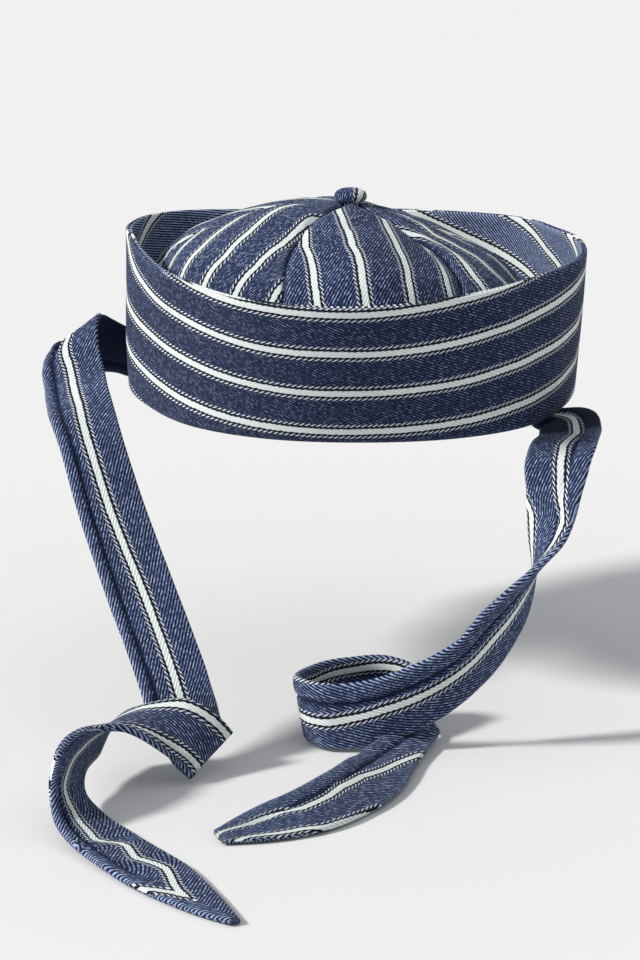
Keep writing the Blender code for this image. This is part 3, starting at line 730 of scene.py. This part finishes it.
def facing_section():
    """Round the facing, which stands inside the outer layer and turns over beside it at the rim."""
    beside = -CLOTH - FACING_GAP
    turn = (STACK + beside) / 2
    over = arc((CUFF_SLANT - FACING_DROP - turn, beside - turn), turn, 90, -90, 8)
    face = [(place, -STACK) for place in np.linspace(CUFF_SLANT - 3, 5, 30)]
    foot = [(CLOTH + 0.5, -STACK), (CLOTH + 1.2, beside)]
    back = [(place, beside) for place in np.linspace(5, CUFF_SLANT - 5, 8)]
    section = over + face + foot + back
    return section, [CUFF_SLANT - point[0] for point in section]


# Crown

def crown_value(name, azimuth):
    """One of the crown's measures at an azimuth."""
    return round_value(CROWN_ROWS, CROWN_COLUMNS.index(name), FIRST_SEAM, azimuth)


def seam_azimuth(index, level):
    """Where a seam of the crown runs at each level."""
    drift = SEAM_DRIFTS.get(index % GORES, ((0.0, 0.0), (1.0, 0.0)))
    return FIRST_SEAM + GORE_ANGLE * index + np.interp(level, *zip(*drift))


def crown_points(azimuth, level, across, sink):
    """Points of the crown's outer face, at levels from 0 at the base to 1 at the ring.

    across is the place between the gore's two seams, from -1 to 1, and sink how far in it lies.
    """
    base = cuff_value("base_radius", azimuth) - STACK - GAP
    ones = np.ones_like(base)
    radii = np.stack([
        base, crown_value("side_radius", azimuth), crown_value("shoulder_radius", azimuth),
        CROWN_UPPER_RADIUS * ones, CROWN_TOP_RADIUS * ones, CROWN_RING_RADIUS * ones])
    heights = np.stack([
        CROWN_BASE_HEIGHT * ones, CROWN_SIDE_HEIGHT * ones, crown_value("shoulder_height", azimuth),
        crown_value("upper_height", azimuth), crown_value("top_height", azimuth),
        CROWN_APEX[2] * ones])
    steps = np.hypot(np.diff(radii, axis=0), np.diff(heights, axis=0))
    knots = np.concatenate([np.zeros_like(steps[:1]), np.cumsum(steps, axis=0)])
    place = level * knots[-1]
    index = np.clip((place[None] > knots[1:-1]).sum(0), 0, len(knots) - 2)

    def pick(table, step):
        return np.take_along_axis(table, index[None] + step, 0)[0]

    low = pick(knots, 0)
    span = pick(knots, 1) - low

    def at(table):
        tangents = slopes(knots, table)
        return hermite(pick(table, 0), pick(table, 1), pick(tangents, 0) * span,
                       pick(tangents, 1) * span, (place - low) / span)

    radius = at(radii)
    height = at(heights)
    puff = CROWN_PUFF * np.sin(pi * level) * (1 - across ** 2)
    dent = 0.0
    for row in DENT_ROWS + FOLD_ROWS:
        size = dict(zip(DENT_COLUMNS, row))
        side = ((azimuth - size["azimuth"] + 180) % 360 - 180) / size["half_azimuth"]
        up = (level - size["level"]) / size["half_level"]
        dent = dent + size["depth"] * np.exp(-side * side - up * up)
    push = puff - dent - sink
    rise = height / CROWN_APEX[2]
    top = rise * rise
    angle = np.radians(azimuth)
    reach = radius + push * (1 - top)
    return np.stack([CROWN_APEX[0] * top + reach * np.sin(angle),
                     CROWN_APEX[1] * top - reach * np.cos(angle), height + push * top], axis=-1)


def crown_gore(context, index):
    """One gore: a shell that dips into the seams at its sides."""
    levels = GORE_LEVELS
    columns = GORE_COLUMNS
    share = np.linspace(-1, 1, columns)
    share = np.sign(share) * (1 - (1 - np.abs(share)) ** GORE_CROWDING)
    level, across = np.meshgrid(np.linspace(0, 1, levels), share, indexing="ij")
    left = seam_azimuth(index, level)
    right = seam_azimuth(index + 1, level)
    half_angle = (right - left) / 2
    azimuth = (left + right) / 2 + across * half_angle * GORE_REACH
    plain = crown_points(azimuth, level, across, 0.0)
    radius = np.hypot(plain[..., 0] - CROWN_APEX[0], plain[..., 1])
    to_seam = (1 - np.abs(across)) * np.radians(half_angle) * radius
    up = walked(plain[:, columns // 2])[:, None]

    # The seams' dips and puckers, and the cloth's own soft waves, which die out at both ends.
    nearest = np.where(across < 0, index, index + 1)
    pucker_height, pucker_spacing, pucker_reach = PUCKERS
    pucker = np.sin(tau * up / pucker_spacing + nearest * PUCKER_TURN)
    pucker = pucker * np.exp(-to_seam / pucker_reach)
    wave_height, wave_spacing, wave_lean = GORE_WAVES
    waves = wave_height * wave(GORE_SEED + index, wave_spacing, up + wave_lean * across)
    calm = np.sin(pi * np.clip(level, 0.02, 0.98)) ** 0.5
    sink = SEAM_DIP[0] * hump(to_seam, SEAM_DIP[1])
    sink = sink + calm * (pucker_height * pucker + waves * (1 - np.abs(across) ** 4))
    outer = crown_points(azimuth, level, across, sink)
    normal = np.cross(np.gradient(outer, axis=1), np.gradient(outer, axis=0))
    normal /= np.linalg.norm(normal, axis=-1, keepdims=True)
    inner = outer - CLOTH * GORE_THINNING * normal

    walk = np.linalg.norm(np.diff(plain, axis=1), axis=-1)
    walk = np.concatenate([np.zeros((levels, 1)), np.cumsum(walk, axis=1)], axis=1)
    side = walk - walk[:, columns // 2][:, None]
    weave = striped_weave(np.repeat(up, columns, axis=1), side, GORE_STRIPES[index], 1)
    flat = weave.reshape(-1, 2)

    # Faces outside, inside and round the rim.
    count = levels * columns
    row, column = np.meshgrid(np.arange(levels - 1), np.arange(columns - 1), indexing="ij")
    corner = (row * columns + column).reshape(-1)
    quads = np.stack([corner, corner + 1, corner + columns + 1, corner + columns], axis=-1)
    edge = list(range(columns)) + [r * columns + columns - 1 for r in range(1, levels)]
    edge += [count - 1 - c for c in range(1, columns)]
    edge += [r * columns for r in range(levels - 2, 0, -1)]
    rim = np.array([(v, count + v, count + w, w) for v, w in zip(edge, edge[1:] + edge[:1])])
    faces = np.concatenate([quads, count + quads[:, ::-1], rim])

    # A pale line of wear beside each seam, and painted shade in the seam's dip.
    pale, pale_place, pale_width = SEAM_RIDGE_WEAR
    wear_and_painted_light = pale * hump(to_seam - pale_place, pale_width)
    wear_and_painted_light = wear_and_painted_light - SEAM_PAINTED_SHADE[0] * hump(to_seam, SEAM_PAINTED_SHADE[1])
    vertices = np.concatenate([outer.reshape(-1, 3), inner.reshape(-1, 3)])
    return finish_piece(context, f"gore_{index + 1}", vertices, faces.tolist(),
                        flat[faces.reshape(-1) % count], np.tile(wear_and_painted_light.reshape(-1), 2),
                        [f"crown_gore_{index + 1}"])


def crown_button(context):
    """The covered button: cloth drawn over a flat dome."""
    columns = 64
    rows = 26
    low = CROWN_APEX[2] + BUTTON_LIFT
    table = np.array([(0.0, 0.0), *BUTTON_ROWS, BUTTON_TOP])
    steps = np.diff(table, axis=0)
    knots = np.concatenate([[0], np.cumsum(np.hypot(steps[:, 0], steps[:, 1]))])
    places = np.linspace(knots[1] * 0.3, knots[-1], rows)
    profile = open_table(knots, table, places)
    angle = np.linspace(0, tau, columns + 1)
    turn = angle[:-1]
    gathers, gather_depth, gather_reach = BUTTON_GATHERS
    gather = gather_depth * np.sin(gathers * turn + 0.6)[None]
    gather = gather * np.clip(1 - (places - knots[1]) / gather_reach, 0, 1)[:, None]
    reach = profile[:, :1] + gather
    points = np.stack([CROWN_APEX[0] + reach * np.sin(turn), -reach * np.cos(turn),
                       np.repeat(low + profile[:, 1:], columns, axis=1)], axis=-1)
    length = (knots[-1] - places)[:, None]
    weave = np.stack([length * np.sin(angle) - BUTTON_STRIPE, -length * np.cos(angle)], axis=-1)
    wear_and_painted_light = np.zeros(points.shape[:2])
    return make_piece(context, "button", points, weave[:, :-1], weave[:, 1:], wear_and_painted_light, False, True,
                      ["crown_button"])


# Ties

def tie_frames(rows):
    """Places along a tie: centres, unit directions across, widths and distances from its start."""
    table = np.array(rows, float)
    knots = walked(table[:, :3])
    values = open_table(knots, table, np.linspace(0, knots[-1], int(knots[-1] / TIE_STEP) + 1))
    across = values[:, 3:6] / np.linalg.norm(values[:, 3:6], axis=1, keepdims=True)
    centres = values[:, :3]
    return centres, across, values[:, 6], walked(centres)


def tie_depth(from_edge, crease, fold, sewn):
    """Half the tie's thickness, from its edge inwards: a crease marks off the plump sewn edge."""
    rounding = np.clip(1 - from_edge / TIE_EDGE_ROUND, 0, 1)
    plain = TIE_HALF_THICKNESS * np.sqrt(np.clip(1 - rounding ** 2, 0, 1))
    swollen, middle, spread = SEWN_PLUMP
    plump = swollen * hump(from_edge - middle * crease, spread * crease)
    return plain + sewn * (plump - CREASE[0] * fold) * np.clip(plain / TIE_HALF_THICKNESS, 0, 1)


def mitred(along, side):
    """Places on the left tie, those beyond the mitre's line mirrored in it."""
    start, level, slope = MITRE
    length = (1 + slope * slope) ** 0.5
    beyond = (side - level + slope * (along - start)) / length
    beyond = np.where(beyond > 0, beyond, 0.0) * 2
    return along - beyond * slope / length, side - beyond / length


def tie(context, name, rows, upper, under, sewn_edge, crease, root_shade_length, is_mitred, seed):
    """A flat sewn tie: a turned tube of cloth, pressed flat, plump along its sewn edge."""
    centres, across, widths, length = tie_frames(rows)
    along = np.gradient(centres, axis=0)
    along /= np.linalg.norm(along, axis=1, keepdims=True)
    normal = np.cross(across, along)
    slant = np.clip(1 / np.maximum(np.linalg.norm(normal, axis=1), 0.01), 1, TIE_WIDENING)
    slant = 1 + (slant - 1) * np.interp(length, TIE_TURNS, (0, 1))
    normal /= np.linalg.norm(normal, axis=1, keepdims=True)
    half = (widths / 2 * slant)[:, None]
    share = TIE_CROWDING * -np.cos(np.linspace(0, pi, TIE_COLUMNS + 1))
    share = share + (1 - TIE_CROWDING) * np.linspace(-1, 1, TIE_COLUMNS + 1)
    share = share[None]
    side = half * share
    from_edge = half - np.abs(side)

    # The crease lies on the sewn side, and dies out before a mitre.
    fold = hump(from_edge - crease, CREASE[1]) * np.interp(half, CREASE_FROM, (0, 1))
    creased = np.interp(length, CREASE_END, (1, 0)) if is_mitred else np.ones(len(length))
    sewn = (side * sewn_edge > 0) * creased[:, None]
    depth = tie_depth(from_edge, crease, fold, sewn)[..., None]
    swell, cup, ripple = (
        height * wave(seed + turn, spacing, length)[:, None]
        for turn, (height, spacing) in enumerate((TIE_SWELL, TIE_CUP, TIE_RIPPLE)))
    bend = (swell * (1 - share ** 2) + cup * share ** 2 + ripple * share)[..., None]
    across, normal = across[:, None], normal[:, None]
    middle = centres[:, None] + across * side[..., None] + normal * bend
    top = middle + normal * depth
    bottom = middle - normal * depth
    points = np.concatenate([top, bottom[:, -2:0:-1]], axis=1)

    walk = np.repeat(length[:, None], TIE_COLUMNS + 1, axis=1)
    face = striped_weave(*(mitred(walk, side) if is_mitred else (walk, side)), upper, 1)
    back = striped_weave(walk, side, under, -1)[:, ::-1]
    left = np.concatenate([face[:, :-1], back[:, :-1]], axis=1)
    right = np.concatenate([face[:, 1:], back[:, 1:]], axis=1)
    wear_and_shading = TIE_WEAR + TIE_EDGE_WEAR[0] * hump(from_edge, TIE_EDGE_WEAR[1])
    # Painted shade in the crease, where the fold is.
    wear_and_shading = wear_and_shading - CREASE_PAINTED_SHADE * fold * sewn
    # Painted shade at the root, up to a given length from the cuff.
    indigo, onset = ROOT_PAINTED_SHADE
    wear_and_shading = wear_and_shading - indigo * np.clip((root_shade_length - length) / onset, 0, 1)[:, None]
    wear_and_painted_light = np.concatenate([wear_and_shading, wear_and_shading[:, -2:0:-1]], axis=1)
    piece = make_piece(context, name, points, left, right, wear_and_painted_light, False, True,
                       [f"tie_{name.split('_')[0]}"])
    return piece


class CAP_OT_cuff(bpy.types.Operator):
    """Build the turned-up cuff"""

    bl_idname = "cap.cuff"
    bl_label = "Cuff"

    def execute(self, context):
        section, below = outer_section()
        cuff_layer(context, "cuff_outer_cloth", section, below, 1, 0.0, OUTER_WEAR_AND_SHADE, "cuff_outer")
        section, below = facing_section()
        cuff_layer(context, "cuff_facing_cloth", section, below, -1, FACING_SHIFT, FACING_WEAR_AND_LIGHT,
                   "cuff_facing")
        return {"FINISHED"}


class CAP_OT_crown(bpy.types.Operator):
    """Build the six gores of the crown"""

    bl_idname = "cap.crown"
    bl_label = "Crown gores"

    def execute(self, context):
        for index in range(GORES):
            crown_gore(context, index)
        return {"FINISHED"}


class CAP_OT_button(bpy.types.Operator):
    """Build the covered button on top"""

    bl_idname = "cap.button"
    bl_label = "Button"

    def execute(self, context):
        crown_button(context)
        return {"FINISHED"}


class CAP_OT_ties(bpy.types.Operator):
    """Build the two ties"""

    bl_idname = "cap.ties"
    bl_label = "Ties"

    def execute(self, context):
        for name, form in TIES.items():
            tie(context, name, *form)
        return {"FINISHED"}


class CAP_OT_stage(bpy.types.Operator):
    """Set out the floor, the lights and the camera"""

    bl_idname = "cap.stage"
    bl_label = "Stage"

    def execute(self, context):
        stage = context.scene.cap_stage
        link = context.scene.collection.objects.link
        # A plain floor under the ties' ends, in rolled matt paint: pale, and without gloss.
        low = CAD_BOX[0][2] - FLOOR_DROP
        floor_mesh = bpy.data.meshes.new("floor")
        floor_mesh.from_pydata([(*corner, low) for corner in FLOOR_CORNERS], [], [(0, 1, 2, 3)])
        floor = bpy.data.objects.new("floor", floor_mesh)
        link(floor)
        paint = bpy.data.materials.new("matt white paint, rolled")
        paint.use_nodes = True
        shader = paint.node_tree.nodes["Principled BSDF"]
        shader.inputs["Base Color"].default_value = stage.floor_colour
        shader.inputs["Roughness"].default_value = FLOOR_ROUGHNESS
        floor_mesh.materials.append(paint)

        key = bpy.data.lights.new("key", "SUN")
        key.energy = stage.key_power
        key.angle = radians(KEY_SPREAD)
        key.color = linear(KEY_COLOUR)[:3]
        key_lamp = bpy.data.objects.new("key", key)
        key_lamp.rotation_euler = Vector(KEY_DIRECTION).to_track_quat("-Z", "Y").to_euler()
        link(key_lamp)
        world = bpy.data.worlds.new("studio")
        world.use_nodes = True
        sky = world.node_tree.nodes["Background"]
        sky.inputs["Color"].default_value = linear(SKY_COLOUR)
        sky.inputs["Strength"].default_value = stage.sky_power
        context.scene.world = world

        lens = bpy.data.cameras.new("camera")
        lens.sensor_fit = "VERTICAL"
        lens.sensor_height = FILM_HEIGHT
        lens.lens = FOCAL_LENGTH
        lens.clip_end = 50.0
        view = bpy.data.objects.new("camera", lens)
        view.location = CAMERA_PLACE
        view.rotation_euler = (radians(90 - CAMERA_DIP), 0, 0)
        link(view)
        context.scene.camera = view
        context.scene.view_settings.view_transform = "Standard"
        return {"FINISHED"}


class CAP_PT_panel(bpy.types.Panel):
    """The cap's sizes, colours and pieces"""

    bl_label = "Sailor cap"
    bl_space_type = "VIEW_3D"
    bl_region_type = "UI"
    bl_category = "Cap"

    def draw(self, context):
        for settings in (context.scene.cap_cloth, context.scene.cap_stage):
            for name in settings.bl_rna.properties.keys():
                if name not in ("rna_type", "name"):
                    self.layout.prop(settings, name)
        for step in STEPS:
            self.layout.operator(step.bl_idname)


STEPS = (CAP_OT_cuff, CAP_OT_crown, CAP_OT_button, CAP_OT_ties, CAP_OT_stage)
CLASSES = (CapClothSettings, CapStageSettings, *STEPS, CAP_PT_panel)


def register():
    """Registers the classes and puts the settings on the scene."""
    for cls in CLASSES:
        bpy.utils.register_class(cls)
    bpy.types.Scene.cap_cloth = bpy.props.PointerProperty(type=CapClothSettings)
    bpy.types.Scene.cap_stage = bpy.props.PointerProperty(type=CapStageSettings)


def unregister():
    """Takes the settings and the classes away again."""
    del bpy.types.Scene.cap_cloth
    del bpy.types.Scene.cap_stage
    for cls in reversed(CLASSES):
        bpy.utils.unregister_class(cls)


def main():
    """Builds every piece and the stage."""
    register()
    bpy.ops.cap.cuff()
    bpy.ops.cap.crown()
    bpy.ops.cap.button()
    bpy.ops.cap.ties()
    bpy.ops.cap.stage()


if __name__ == "__main__":
    main()
